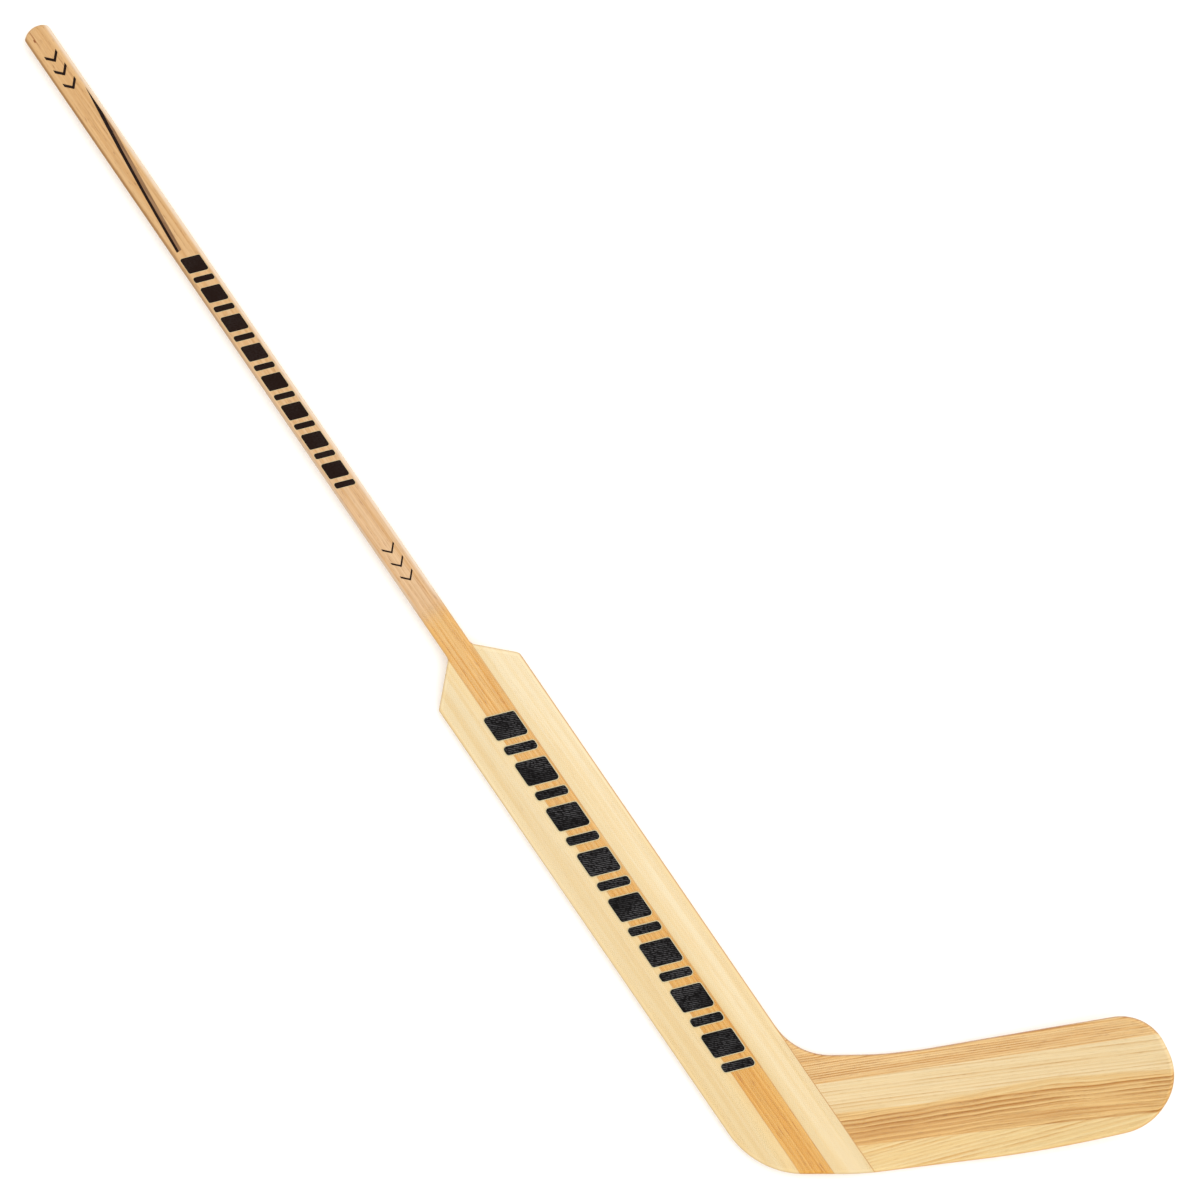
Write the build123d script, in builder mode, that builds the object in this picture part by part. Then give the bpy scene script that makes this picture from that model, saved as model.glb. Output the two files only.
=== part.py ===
from build123d import *
from math import cos, radians, sin, tan
import os

# A junior goaltender's stick in laminated wood, lying on its back.
# +X runs down the shaft from the butt to the heel, +Y points to the toe side, +Z out of the front.
# The origin is on the stick's back, on the shaft's centreline, where the paddle's shoulders start.
# Lengths are in millimetres and angles in degrees.

os.makedirs("parts", exist_ok=True)

# ---- Overall ----
shaft_length = 676          # butt to the start of the shoulders
paddle_length = 567         # start of the shoulders to the sole, along the centreline
blade_length = 325          # centreline to the front of the toe, along the sole
lie_angle = 55.6            # between the shaft and the sole
edge_rounding = 3           # of every long edge, front and back

# ---- Shaft ----
shaft_width = 24.8
butt_radius = 16.8          # the butt end is domed across its width
face_ply = 2
core_ply = 4.4
core_plies = 3

# ---- Paddle ----
heel_side_reach = 45.5      # centreline to the paddle's edges
toe_side_reach = 43.5
shoulder_angle = 45
shoulder_foot_radius = 6
toe_shoulder_radius = 7
corner_spare = 0.4          # by which a tight corner in plan is wider than the edge rounding
level_edge = 5              # width of the level strip along the paddle's edges
fall_run = 17.5             # from that strip the front climbs over this width to its level middle
fall_radius = 20            # eases the front into and out of the climb
edge_thickness = 11.2       # of the wood at the paddle's edges and at the blade's root
heel_radius = 82

# ---- Blade, in its own axes: along the sole from the centreline, and up from the sole ----
sole_flat = 42              # end of the level stretch of the sole
sole_flat_radius = 214
sole_slope = 7.2            # of the middle stretch
toe_run = 93                # length of the last stretch of the sole
toe_slope = 13.4
sole_radius = 1089          # between the middle and the last stretch
toe_low_radius = 55
nose_run = 52               # up the front of the toe
nose_slope = 56.5
nose_radius = 48
nose_lean = 116.1           # the toe leans back above the nose
toe_high_radius = 42
top_height = 94.5           # of the straight top edge, carried back to the centreline
top_slope = 10
hollow_start = 94           # behind this the top edge falls less
hollow_start_radius = 300
hollow_slope = 6.6
hollow_middle = 57
hollow_radius = 261
root_slope = 1
root_radius = 60            # of the curve that takes the top edge into the paddle
level_root = 22             # the blade stays flat this far past the joint, then bends to the front
bend_radius = 900
toe_thickness = 8           # of the wood at the tip

# ---- Glue lines between the blade's strips: height at the centreline, and slope ----
glue_lines = [(80.4, 8.6), (50.9, 7.3), (20.7, 6.7)]
strip_names = ["blade_strip_top", "blade_strip_upper", "blade_strip_lower", "blade_strip_sole"]

# ---- Tenon of the blade, let into the paddle ----
tenon_depth = 69
tenon_root_thickness = 7.2
tenon_tip_thickness = 3.2
tenon_setback = 5           # the slot starts this far below the corner over the blade's root

# ---- Glass cloth and resin facings ----
facing = 0.4
facing_margin = 0.3         # they stop this far inside the rounded edges
facing_run_up = 48          # up the shaft, above the shoulders

# ---- Transfers on the front: starts are from the butt or the shoulders ----
film = 0.1
band_margin = 0.7           # shaft band to the rounded edges
shaft_band_start = 245
shaft_band_gap = 55         # before the low mark
paddle_band_start = 61
paddle_band_height = 27.6
paddle_band_shift = -3.6
paddle_band_end = 103       # before the sole, along the centreline
band_motifs = 8
bar_lean = 20               # the bars slant by this angle
wide_bar, narrow_bar, bar_gap = 0.5, 0.18, 0.14     # shares of one motif
mark_length = 44
mark_height = 12.5
mark_chevrons = 3
chevron_point = 0.45        # share of a chevron's pitch
butt_mark_start = 27
butt_mark_stroke = 3.4      # along the shaft
low_mark_start = 115        # above the shoulders
low_mark_stroke = 2.2
stripe_start, stripe_end = 70, 239      # from the butt
stripe_shoulder = 97        # where the stripe leaves the toe-side edge
stripe_margin = 0.2         # start of the stripe to the rounded edge
stripe_end_margin = 2.2     # end of the stripe to the other rounded edge
stripe_end_width = 2.4
stripe_sag_low, stripe_sag_high = 1.2, 1.1      # how far its two sides bow to the heel side
smoke_shoulder = 116
smoke_end_width = 2.5

# ---- Heights above the floor, and places worked out from the sizes ----
shaft_thickness = 2 * face_ply + core_plies * core_ply
back = facing                               # the wood's back
front = back + shaft_thickness              # the wood's front
edge_front = back + edge_thickness
half_shaft = shaft_width / 2
level_shaft = half_shaft - edge_rounding    # half the shaft's level width
lie = radians(lie_angle)
joint_at_sole = toe_side_reach / sin(lie)   # where the paddle joint meets the sole, in blade axes
bend_start = joint_at_sole + level_root
whole_length = shaft_length + paddle_length + blade_length
reach = paddle_length + blade_length        # further than any cut has to go

blade_plan = Plane(origin=(paddle_length, 0, 0), x_dir=(cos(lie), sin(lie), 0), z_dir=(0, 0, 1))
blade_side = Plane(blade_plan.origin, x_dir=blade_plan.x_dir, z_dir=-blade_plan.y_dir)


def at_blade(point):
    """A point given in the blade's axes, in the stick's."""
    return blade_plan.from_local_coords(Vector(*point, 0))


def ahead(start, run, slope):
    """The point in blade axes that lies run further along a line of this slope."""
    return start[0] + run, start[1] + run * tan(radians(slope))


def meet(start, slope, other, other_slope):
    """Where two lines cross, each given by a point in blade axes and its slope."""
    rise, other_rise = tan(radians(slope)), tan(radians(other_slope))
    along = (other[1] - start[1] + rise * start[0] - other_rise * other[0]) / (rise - other_rise)
    return ahead(start, along - start[0], slope)


# ---- Outline in plan: straight stretches with an arc at every corner ----
shoulder_run_heel = (heel_side_reach - half_shaft) / tan(radians(shoulder_angle))
shoulder_run_toe = (toe_side_reach - half_shaft) / tan(radians(shoulder_angle))
nose_reach = nose_run * cos(radians(nose_slope))
sole_middle_run = blade_length - nose_reach - toe_run - sole_flat
sole_middle = ahead((sole_flat, 0), sole_middle_run, sole_slope)
toe_low = ahead(sole_middle, toe_run, toe_slope)
nose = ahead(toe_low, nose_reach, nose_slope)
toe_high = meet((0, top_height), top_slope, nose, nose_lean)
hollow_top = ahead((0, top_height), hollow_start, top_slope)
hollow_low = ahead(hollow_top, hollow_middle - hollow_start, hollow_slope)
root_corner = meet(hollow_low, root_slope, (joint_at_sole, 0), 180 - lie_angle)
butt_corner = -shaft_length + butt_radius - (butt_radius**2 - half_shaft**2) ** 0.5

with BuildSketch() as outline:
    with BuildLine():
        FilletPolyline(
            (butt_corner, -half_shaft),
            (0, -half_shaft),
            (shoulder_run_heel, -heel_side_reach),
            (paddle_length - heel_side_reach / tan(lie), -heel_side_reach),
            at_blade((sole_flat, 0)),
            at_blade(sole_middle),
            at_blade(toe_low),
            at_blade(nose),
            at_blade(toe_high),
            at_blade(hollow_top),
            at_blade(hollow_low),
            at_blade(root_corner),
            (shoulder_run_toe, toe_side_reach),
            (0, half_shaft),
            (butt_corner, half_shaft),
            radius=[
                shoulder_foot_radius,
                edge_rounding + corner_spare,
                heel_radius,
                sole_flat_radius,
                sole_radius,
                toe_low_radius,
                nose_radius,
                toe_high_radius,
                hollow_start_radius,
                hollow_radius,
                root_radius,
                toe_shoulder_radius,
                shoulder_foot_radius,
            ],
        )
        ThreePointArc((butt_corner, half_shaft), (-shaft_length, 0), (butt_corner, -half_shaft))
    make_face()
    fillet(outline.vertices().group_by(Axis.X)[0], radius=edge_rounding + corner_spare)


def paddle_body(raised=0):
    """The shaft and paddle run on as one bar, its front raised by the thickness of a facing."""
    with BuildSketch(Plane.YZ.offset(-shaft_length)) as section:
        with BuildLine():
            FilletPolyline(
                (-heel_side_reach, edge_front + raised),
                (level_edge - heel_side_reach, edge_front + raised),
                (level_edge + fall_run - heel_side_reach, front + raised),
                (toe_side_reach - fall_run - level_edge, front + raised),
                (toe_side_reach - level_edge, edge_front + raised),
                (toe_side_reach, edge_front + raised),
                radius=fall_radius,
            )
            Polyline(
                (toe_side_reach, edge_front + raised),
                (toe_side_reach, back),
                (-heel_side_reach, back),
                (-heel_side_reach, edge_front + raised),
            )
        make_face()
    return extrude(section.sketch, amount=whole_length, mode=Mode.PRIVATE)


def blade_layer(low, high):
    """A layer of the blade: level, then bent to the front and thinning towards the tip."""
    bend_end = blade_length + edge_rounding
    rise = (bend_end - bend_start) ** 2 / (2 * bend_radius)

    def tip(level):
        share = min(max((level - back) / edge_thickness, 0), 1)
        return bend_end, level + rise - share * (edge_thickness - toe_thickness)

    with BuildSketch(blade_side) as profile:
        with BuildLine():
            TangentArc((bend_start, low), tip(low), tangent=(1, 0))
            Polyline((bend_start, low), (-reach, low), (-reach, high), (bend_start, high))
            TangentArc((bend_start, high), tip(high), tangent=(1, 0))
            Line(tip(high), tip(low))
        make_face()
    return extrude(profile.sketch, amount=reach, both=True, mode=Mode.PRIVATE)


def lengthwise_band(low_side, high_side):
    """Plan region between two distances from the centreline, the whole stick long."""
    with BuildSketch() as region:
        with Locations((-shaft_length, low_side)):
            Rectangle(whole_length, high_side - low_side, align=(Align.MIN, Align.MIN))
    return region.sketch


def cut_to(plan):
    """Keep only what stands over or under a plan region."""
    extrude(plan, amount=reach, both=True, mode=Mode.INTERSECT)


def save(piece, name):
    piece.part.label = name
    export_step(piece.part, f"parts/{name}.step")


paddle_side = lengthwise_band(-reach, toe_side_reach)
blade_half = lengthwise_band(toe_side_reach, reach)

# ---- The stick's wood as one body with its edges rounded, before it is divided ----
with BuildPart() as paddle_wood:
    add(paddle_body())
    cut_to(outline.sketch)
with BuildPart() as bent_wood:
    add(blade_layer(back, edge_front))
    cut_to(outline.sketch)
    cut_to(blade_half)
with BuildPart() as wood:
    add(paddle_wood.part)
    add(bent_wood.part)
    sides = wood.faces().filter_by(lambda face: abs(face.normal_at(0.5, 0.5).Z) < 0.01)
    fillet(sides.edges().filter_by(Axis.Z, reverse=True), radius=edge_rounding)

# ---- Blade blank with its wedge-shaped tenon, then the four strips it is glued up from ----
tenon_start = at_blade(root_corner).X + tenon_setback
tenon_middle = back + edge_thickness / 2
with BuildSketch(Plane.YZ.offset(tenon_start)) as wedge:
    Polygon(
        (toe_side_reach, tenon_middle - tenon_root_thickness / 2),
        (toe_side_reach, tenon_middle + tenon_root_thickness / 2),
        (toe_side_reach - tenon_depth, tenon_middle + tenon_tip_thickness / 2),
        (toe_side_reach - tenon_depth, tenon_middle - tenon_tip_thickness / 2),
        align=None,
    )
with BuildPart() as tenon:
    add(wood.part)
    extrude(wedge.sketch, amount=reach, mode=Mode.INTERSECT)
with BuildPart() as blade_blank:
    add(wood.part)
    cut_to(blade_half)
    add(tenon.part)


def glue_line(height, slope):
    """Both ends of a glue line, carried well past the blade."""
    return ahead((0, height), -reach, slope), ahead((0, height), reach, slope)


strip_edges = [glue_line(reach, 0)]
strip_edges += [glue_line(height, slope) for height, slope in glue_lines]
strip_edges += [glue_line(-reach, 0)]
for name, upper, lower in zip(strip_names, strip_edges, strip_edges[1:]):
    with BuildSketch(blade_plan) as strip_region:
        Polygon(upper[0], lower[0], lower[1], upper[1], align=None)
    with BuildPart() as blade_strip:
        add(blade_blank.part)
        cut_to(strip_region.sketch)
    save(blade_strip, name)

# ---- Paddle boards on either side of the shaft, slotted for the tenon ----
with BuildPart() as slotted_wood:
    add(wood.part)
    cut_to(paddle_side)
    add(tenon.part, mode=Mode.SUBTRACT)
with BuildPart() as toe_side_board:
    add(slotted_wood.part)
    cut_to(lengthwise_band(half_shaft, toe_side_reach))
save(toe_side_board, "toe_side_board")
with BuildPart() as heel_side_board:
    add(slotted_wood.part)
    cut_to(lengthwise_band(-heel_side_reach, -half_shaft))
save(heel_side_board, "heel_side_board")

# ---- Shaft: birch face plies over aspen core plies, from the butt down to the sole ----
plies = [("shaft_back_ply", face_ply)]
plies += [(f"shaft_core_ply_{number + 1}", core_ply) for number in range(core_plies)]
plies += [("shaft_front_ply", face_ply)]
ply_height = back
for name, thickness in plies:
    with BuildPart() as ply:
        add(slotted_wood.part)
        layer = lengthwise_band(-half_shaft, half_shaft).moved(Location((0, 0, ply_height)))
        extrude(layer, amount=thickness, mode=Mode.INTERSECT)
    save(ply, name)
    ply_height += thickness

# ---- Facings of glass cloth and resin, trimmed just inside the rounded edges ----
with BuildSketch() as cloth:
    add(outline.sketch)
    offset(amount=-edge_rounding - facing_margin, mode=Mode.REPLACE)
with BuildSketch() as paddle_cloth:
    add(cloth.sketch)
    add(paddle_side, mode=Mode.INTERSECT)
    with Locations((-facing_run_up, 0)):
        Rectangle(whole_length, shaft_width, align=(Align.MAX, Align.CENTER), mode=Mode.SUBTRACT)
with BuildPart() as paddle_front_facing:
    add(paddle_body(raised=facing))
    add(paddle_body(), mode=Mode.SUBTRACT)
    cut_to(paddle_cloth.sketch)
save(paddle_front_facing, "paddle_front_facing")
with BuildPart() as paddle_back_facing:
    extrude(paddle_cloth.sketch, amount=facing)
save(paddle_back_facing, "paddle_back_facing")
with BuildPart() as blade_front_facing:
    add(blade_layer(edge_front, edge_front + facing))
    cut_to(cloth.sketch)
    cut_to(blade_half)
save(blade_front_facing, "blade_front_facing")
with BuildPart() as blade_back_facing:
    add(blade_layer(0, back))
    cut_to(cloth.sketch)
    cut_to(blade_half)
save(blade_back_facing, "blade_back_facing")


# ---- Transfers ----
def bar_band(start, length, height, shift=0):
    """A row of slanted bars, wide and narrow by turns."""
    lean = height * tan(radians(bar_lean))
    motif = (length - lean) / band_motifs
    low, high = shift - height / 2, shift + height / 2
    with BuildSketch() as band:
        for number in range(band_motifs):
            wide_start = start + number * motif
            narrow_start = wide_start + (wide_bar + bar_gap) * motif
            for bar, share in [(wide_start, wide_bar), (narrow_start, narrow_bar)]:
                bar_end = bar + share * motif
                Polygon((bar, low), (bar_end, low), (bar_end + lean, high), (bar + lean, high), align=None)
    return band.sketch


def chevron_row(start, stroke):
    """A row of thin chevrons that point down the shaft."""
    pitch = mark_length / mark_chevrons
    point = chevron_point * pitch
    half_height = mark_height / 2
    with BuildSketch() as row:
        for number in range(mark_chevrons):
            tail = start + number * pitch
            Polygon(
                (tail, -half_height),
                (tail + stroke, -half_height),
                (tail + stroke + point, 0),
                (tail + stroke, half_height),
                (tail, half_height),
                (tail + point, 0),
                align=None,
            )
    return row.sketch


def save_film(shape, name, height):
    """Make a transfer from its shape in plan, lying at a height."""
    with BuildPart() as transfer:
        extrude(shape.moved(Location((0, 0, height))), amount=film)
    save(transfer, name)


shaft_band_length = shaft_length - shaft_band_start - shaft_band_gap - low_mark_start
shaft_band = bar_band(
    shaft_band_start - shaft_length, shaft_band_length, 2 * (level_shaft - band_margin)
)
save_film(shaft_band, "shaft_transfer", front)
paddle_band_length = paddle_length - paddle_band_start - paddle_band_end
paddle_band = bar_band(paddle_band_start, paddle_band_length, paddle_band_height, paddle_band_shift)
save_film(paddle_band, "paddle_transfer", front + facing)
save_film(chevron_row(butt_mark_start - shaft_length, butt_mark_stroke), "butt_transfer", front)
save_film(chevron_row(-low_mark_start, low_mark_stroke), "low_transfer", front)

# The black stripe is a long sliver from the toe side near the butt across to the heel side,
# and the smoke-brown stripe fills in beside it.
sliver_start = (stripe_start - shaft_length, level_shaft - stripe_margin)
sliver_shoulder = (stripe_shoulder - shaft_length, sliver_start[1])
sliver_end_low = (stripe_end - shaft_length, stripe_end_margin - level_shaft)
sliver_end_high = (sliver_end_low[0], sliver_end_low[1] + stripe_end_width)
smoke_leaves = (smoke_shoulder - shaft_length, sliver_start[1])
smoke_end = (sliver_end_low[0], sliver_end_high[1] + smoke_end_width)


def sagging(start, end, sag):
    """An arc in the active line builder that stands off its chord by sag, to the heel side."""
    middle = ((start[0] + end[0]) / 2, (start[1] + end[1]) / 2 - sag)
    ThreePointArc(start, middle, end)


with BuildSketch() as black_sliver:
    with BuildLine():
        sagging(sliver_start, sliver_end_low, stripe_sag_low)
        Line(sliver_end_low, sliver_end_high)
        sagging(sliver_shoulder, sliver_end_high, stripe_sag_high)
        Line(sliver_start, sliver_shoulder)
    make_face()
with BuildSketch() as smoke_sliver:
    with BuildLine():
        Polyline(sliver_start, smoke_leaves, smoke_end, sliver_end_low, close=True)
    make_face()
    add(black_sliver.sketch, mode=Mode.SUBTRACT)
save_film(black_sliver.sketch, "black_stripe", front)
save_film(smoke_sliver.sketch, "smoke_stripe", front)
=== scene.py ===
"""Looks of a goaltender's laminated wooden hockey stick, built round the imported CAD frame.

The stick lies on its back on a pale floor, its front upwards. Lengths are metres unless a
name or a socket says millimetres.
"""
import math

import bmesh
import bpy
from mathutils import Matrix, Vector


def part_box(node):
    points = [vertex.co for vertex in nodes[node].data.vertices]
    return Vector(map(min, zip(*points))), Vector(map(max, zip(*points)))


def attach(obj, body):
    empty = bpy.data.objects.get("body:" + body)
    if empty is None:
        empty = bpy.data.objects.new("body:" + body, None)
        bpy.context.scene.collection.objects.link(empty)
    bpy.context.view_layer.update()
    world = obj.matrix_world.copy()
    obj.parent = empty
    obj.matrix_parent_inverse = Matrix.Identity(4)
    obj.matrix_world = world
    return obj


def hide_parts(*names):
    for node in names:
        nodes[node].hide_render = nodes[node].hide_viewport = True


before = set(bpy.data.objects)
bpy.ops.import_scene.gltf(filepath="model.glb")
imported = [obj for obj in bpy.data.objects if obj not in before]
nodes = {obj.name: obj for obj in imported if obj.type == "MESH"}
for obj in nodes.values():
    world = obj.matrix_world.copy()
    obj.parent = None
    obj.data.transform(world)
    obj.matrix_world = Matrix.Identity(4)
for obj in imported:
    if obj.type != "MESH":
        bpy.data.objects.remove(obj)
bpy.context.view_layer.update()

MM = 0.001

# The blade's own axes: along the sole from the heel, and up across its width
blade_heel = Vector((0.567, 0.0, 0.0))
lie_degrees = 55.6
bend_start, bend_radius = 0.075, 0.9

# Where the glass cloth starts up the shaft, and the glue lines on the boards beside it: along the
# shaft, and along the root of the blade, both measured out from the centreline
facing_start = -48 * MM
shaft_glue = 12.6 * MM
blade_root_glue = 43.2 * MM

# Height above the heel, in millimetres, and slope, in degrees, of the blade's middle glue line
middle_glue = (50.9, 7.3)

# How bright the studio light is on the stick, and how much of it the lacquer mirrors
light_level = 1.3
lacquer_gloss = 0.054

# The glass cloth is laid with its strands at this angle to the shaft, in degrees
cloth_turn = (0, 0, 46)
# Its glued side is soaked this far into the wood
cloth_sink = 0.1 * MM


def linear(shown):
    """A display value of 0 to 255 as the linear value that Blender's sockets take."""
    shown /= 255
    return shown / 12.92 if shown <= 0.04045 else ((shown + 0.055) / 1.055) ** 2.4


def paint(red, green, blue):
    """A display colour as a socket's colour."""
    return (linear(red), linear(green), linear(blue), 1.0)


def wood_tone(red, green, blue):
    """The wood's own colour that shows as this display colour under lacquer in the studio."""
    return tuple(max(0.0, linear(value) - lacquer_gloss) / light_level
                 for value in (red, green, blue)) + (1.0,)


# ---------------------------------------------------------------- camera, light and floor
def set_camera():
    """Looks straight down on the stick, turned so that the shaft runs from top left to heel."""
    lens = bpy.data.cameras.new("camera")
    camera = bpy.data.objects.new("camera", lens)
    bpy.context.scene.collection.objects.link(camera)
    right = Vector((0.5651, 0.8250, 0.0)).normalized()
    away = Vector((0.0, 0.0, 1.0))
    up = away.cross(right)
    turn = Matrix((right, up, away)).transposed().to_4x4()
    stand_off = 9.0
    middle_of_view = (0.0331, 0.1296, stand_off)
    view_width = 1.0734
    front_height = 0.018
    lens.sensor_width = 36.0
    lens.lens = lens.sensor_width * (stand_off - front_height) / view_width
    lens.clip_end = 60.0
    camera.matrix_world = Matrix.Translation(middle_of_view) @ turn
    bpy.context.scene.camera = camera


def add_sun(name, towards, strength, spread):
    """A broad soft light that shines along the direction given, with its spread in degrees."""
    lamp = bpy.data.lights.new(name, "SUN")
    lamp.energy = strength
    lamp.angle = math.radians(spread)
    light = bpy.data.objects.new(name, lamp)
    light.rotation_mode = "QUATERNION"
    light.rotation_quaternion = Vector(towards).to_track_quat("-Z", "Y")
    bpy.context.scene.collection.objects.link(light)


def set_studio():
    """Even pale surroundings, a soft key light from the toe side, and a plain pale floor."""
    world = bpy.data.worlds.new("studio")
    world.use_nodes = True
    sky = world.node_tree.nodes["Background"]
    sky.inputs["Color"].default_value = (1.0, 1.0, 1.0, 1.0)
    sky.inputs["Strength"].default_value = 1.24
    bpy.context.scene.world = world
    add_sun("key_light", towards=(-0.25, -1.0, -1.6), strength=0.85, spread=50)
    side = 30.0
    height = -0.6 * MM
    mesh = bpy.data.meshes.new("floor")
    mesh.from_pydata([(-side, -side, height), (side, -side, height), (side, side, height),
                      (-side, side, height)], [], [(0, 1, 2, 3)])
    floor = bpy.data.objects.new("floor", mesh)
    bpy.context.scene.collection.objects.link(floor)
    mesh.materials.append(floor_paint())
    bpy.context.scene.view_settings.view_transform = "Standard"


# ---------------------------------------------------------------- small helpers for node trees
def feed(tree, socket, value):
    """Sets a socket to a number or colour, or links another socket to it."""
    if isinstance(value, bpy.types.NodeSocket):
        tree.links.new(value, socket)
    else:
        socket.default_value = value


def sum_up(tree, operation, first, second=0.0, third=0.0, clamp=False):
    """The result of a Math node."""
    node = tree.nodes.new("ShaderNodeMath")
    node.operation = operation
    node.use_clamp = clamp
    for socket, value in zip(node.inputs, (first, second, third)):
        feed(tree, socket, value)
    return node.outputs[0]


def ramp(tree, value, start, end, low=0.0, high=1.0):
    """A smooth rise from low to high as the value goes from start to end."""
    node = tree.nodes.new("ShaderNodeMapRange")
    node.interpolation_type = "SMOOTHSTEP"
    for name, amount in (("Value", value), ("From Min", start), ("From Max", end),
                         ("To Min", low), ("To Max", high)):
        feed(tree, node.inputs[name], amount)
    return node.outputs["Result"]


def stretch(tree, vector, lengths):
    """The vector divided by three lengths, so that a pattern is that long along each axis."""
    node = tree.nodes.new("ShaderNodeVectorMath")
    node.operation = "DIVIDE"
    feed(tree, node.inputs[0], vector)
    feed(tree, node.inputs[1], lengths)
    return node.outputs[0]


def cloud(tree, vector, detail=2.0, rough=0.5, shift=0.0):
    """Noise from 0 to 1 over the vector."""
    if shift:
        move = tree.nodes.new("ShaderNodeVectorMath")
        move.operation = "ADD"
        feed(tree, move.inputs[0], vector)
        move.inputs[1].default_value = (shift, shift, shift)
        vector = move.outputs[0]
    node = tree.nodes.new("ShaderNodeTexNoise")
    feed(tree, node.inputs["Vector"], vector)
    node.inputs["Scale"].default_value = 1.0
    node.inputs["Detail"].default_value = detail
    node.inputs["Roughness"].default_value = rough
    return node.outputs["Fac"]


def mix(tree, share, under, over, how="MIX"):
    """Two colours mixed, with the share of the second."""
    node = tree.nodes.new("ShaderNodeMix")
    node.data_type = "RGBA"
    node.blend_type = how
    feed(tree, node.inputs[0], share)
    feed(tree, node.inputs[6], under)
    feed(tree, node.inputs[7], over)
    return node.outputs[2]


def split(tree, vector):
    """The three parts of a vector."""
    node = tree.nodes.new("ShaderNodeSeparateXYZ")
    feed(tree, node.inputs[0], vector)
    return node.outputs


def new_group(name, inputs, outputs):
    """An empty shader group: inputs are (kind, name, starting value), outputs (kind, name)."""
    tree = bpy.data.node_groups.new(name, "ShaderNodeTree")
    for kind, label, start in inputs:
        socket = tree.interface.new_socket(name=label, in_out="INPUT",
                                           socket_type="NodeSocket" + kind)
        if start is not None:
            socket.default_value = start
    for kind, label in outputs:
        tree.interface.new_socket(name=label, in_out="OUTPUT", socket_type="NodeSocket" + kind)
    given = tree.nodes.new("NodeGroupInput").outputs
    made = tree.nodes.new("NodeGroupOutput").inputs
    return tree, given, made


def place(tree, group, **values):
    """The group in another tree, with its named inputs set; Ring_Width stands for Ring Width."""
    node = tree.nodes.new("ShaderNodeGroup")
    node.node_tree = group
    for name, value in values.items():
        feed(tree, node.inputs[name.replace("_", " ")], value)
    return node.outputs


# ---------------------------------------------------------------- shared effects
def to_millimetres(tree, vector):
    """The vector in millimetres, the unit of every grain and weave size."""
    node = tree.nodes.new("ShaderNodeVectorMath")
    node.operation = "SCALE"
    feed(tree, node.inputs[0], vector)
    node.inputs["Scale"].default_value = 1 / MM
    return node.outputs[0]


def join(tree, x, y, z):
    """Three values as a vector."""
    node = tree.nodes.new("ShaderNodeCombineXYZ")
    for socket, value in zip(node.inputs, (x, y, z)):
        feed(tree, socket, value)
    return node.outputs[0]


def sway_group():
    """Lets straight grain, which runs along X, wander to and fro across Y."""
    tree, given, made = new_group("sway", [
        ("Vector", "Millimetres", None), ("Float", "Wave Height", 1.0),
        ("Float", "Wave Length", 80.0)], [("Vector", "Millimetres")])
    width_to_length = 0.4
    across = sum_up(tree, "MULTIPLY", given["Wave Length"], width_to_length)
    lengths = join(tree, given["Wave Length"], across, across)
    wave = cloud(tree, stretch(tree, given["Millimetres"], lengths), detail=2.0, rough=0.45)
    full_swing = 4.0
    sway = sum_up(tree, "MULTIPLY", sum_up(tree, "SUBTRACT", wave, 0.5), full_swing)
    sway = sum_up(tree, "MULTIPLY", sway, given["Wave Height"])
    x, y, z = split(tree, given["Millimetres"])
    feed(tree, made["Millimetres"], join(tree, x, sum_up(tree, "ADD", y, sway), z))
    return tree


def growth_ring_group():
    """Growth rings round a pith that runs along X: how dark each ring's late wood is."""
    tree, given, made = new_group("growth rings", [
        ("Vector", "Millimetres", None), ("Float", "Ring Width", 2.0),
        ("Float", "Sharpness", 3.0)], [("Float", "Late Wood")])
    _, y, z = split(tree, given["Millimetres"])
    far = sum_up(tree, "SQRT", sum_up(tree, "ADD", sum_up(tree, "MULTIPLY", y, y),
                                      sum_up(tree, "MULTIPLY", z, z)))
    count = sum_up(tree, "DIVIDE", far, given["Ring Width"])
    part = sum_up(tree, "FRACT", count)
    tone = tree.nodes.new("ShaderNodeTexWhiteNoise")
    tone.noise_dimensions = "1D"
    feed(tree, tone.inputs["W"], sum_up(tree, "FLOOR", count))
    rise = sum_up(tree, "POWER", part, given["Sharpness"])
    late_wood_end, faintest_ring, lift = 0.8, 0.3, 1.9
    fall = ramp(tree, part, late_wood_end, 1.0, 1.0, 0.0)
    strength = ramp(tree, tone.outputs["Value"], 0.0, 1.0, faintest_ring, 1.0)
    late = sum_up(tree, "MULTIPLY", sum_up(tree, "MULTIPLY", rise, fall), strength)
    feed(tree, made["Late Wood"], sum_up(tree, "MULTIPLY", late, lift, clamp=True))
    return tree


def rim_group():
    """How far the surface has turned away from the flat faces, from 0 on them to 1 on the sides; it
    masks the painted shade along the rims.
    """
    tree, given, made = new_group("rim", [("Float", "Start", 0.97), ("Float", "End", 0.35)],
                                  [("Float", "Rim")])
    normal = tree.nodes.new("ShaderNodeTexCoord").outputs["Normal"]
    facing = sum_up(tree, "ABSOLUTE", split(tree, normal)["Z"])
    feed(tree, made["Rim"], ramp(tree, facing, given["Start"], given["End"]))
    return tree


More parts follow.
